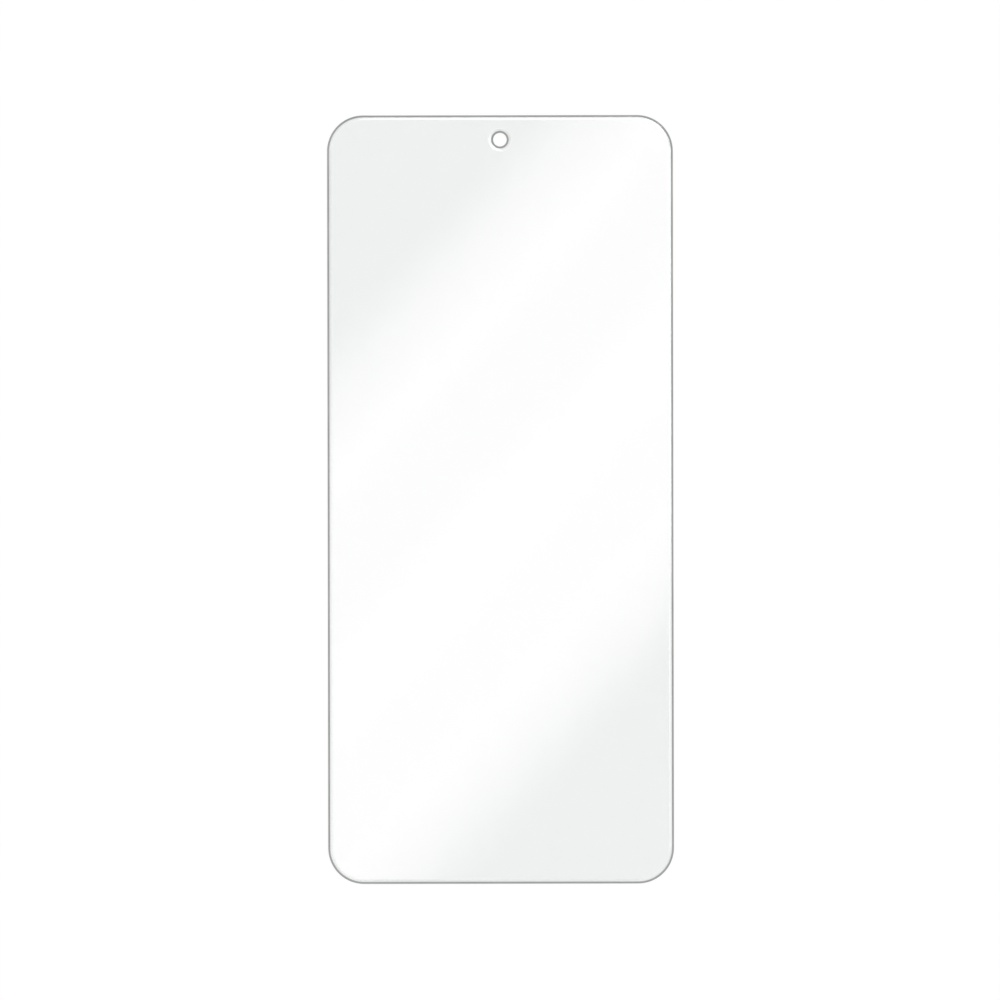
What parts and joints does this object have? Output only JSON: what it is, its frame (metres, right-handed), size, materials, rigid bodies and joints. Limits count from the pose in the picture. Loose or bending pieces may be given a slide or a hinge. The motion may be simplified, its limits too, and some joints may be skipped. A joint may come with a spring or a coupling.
{
  "type": "phone screen protector",
  "caption": "Thin clear glass sheet with rounded corners, an edge ground to a shallow arc and a round front-camera hole, which sticks over a phone's display to protect it.",
  "frame": {"origin": "centre of the underside, the face that sticks to the display, with the sheet lying flat on it", "axes": "+X across the phone, +Y along the phone towards the front camera, +Z out of the outer face"},
  "size_m": [0.0694, 0.1544, 0.0003],
  "materials": {
    "glass": "polished clear glass with a faint grey-green cast and a fine-ground grey rim"
  },
  "bodies": {
    "root": {"glass_sheet": "glass"}
  },
  "joints": []
}
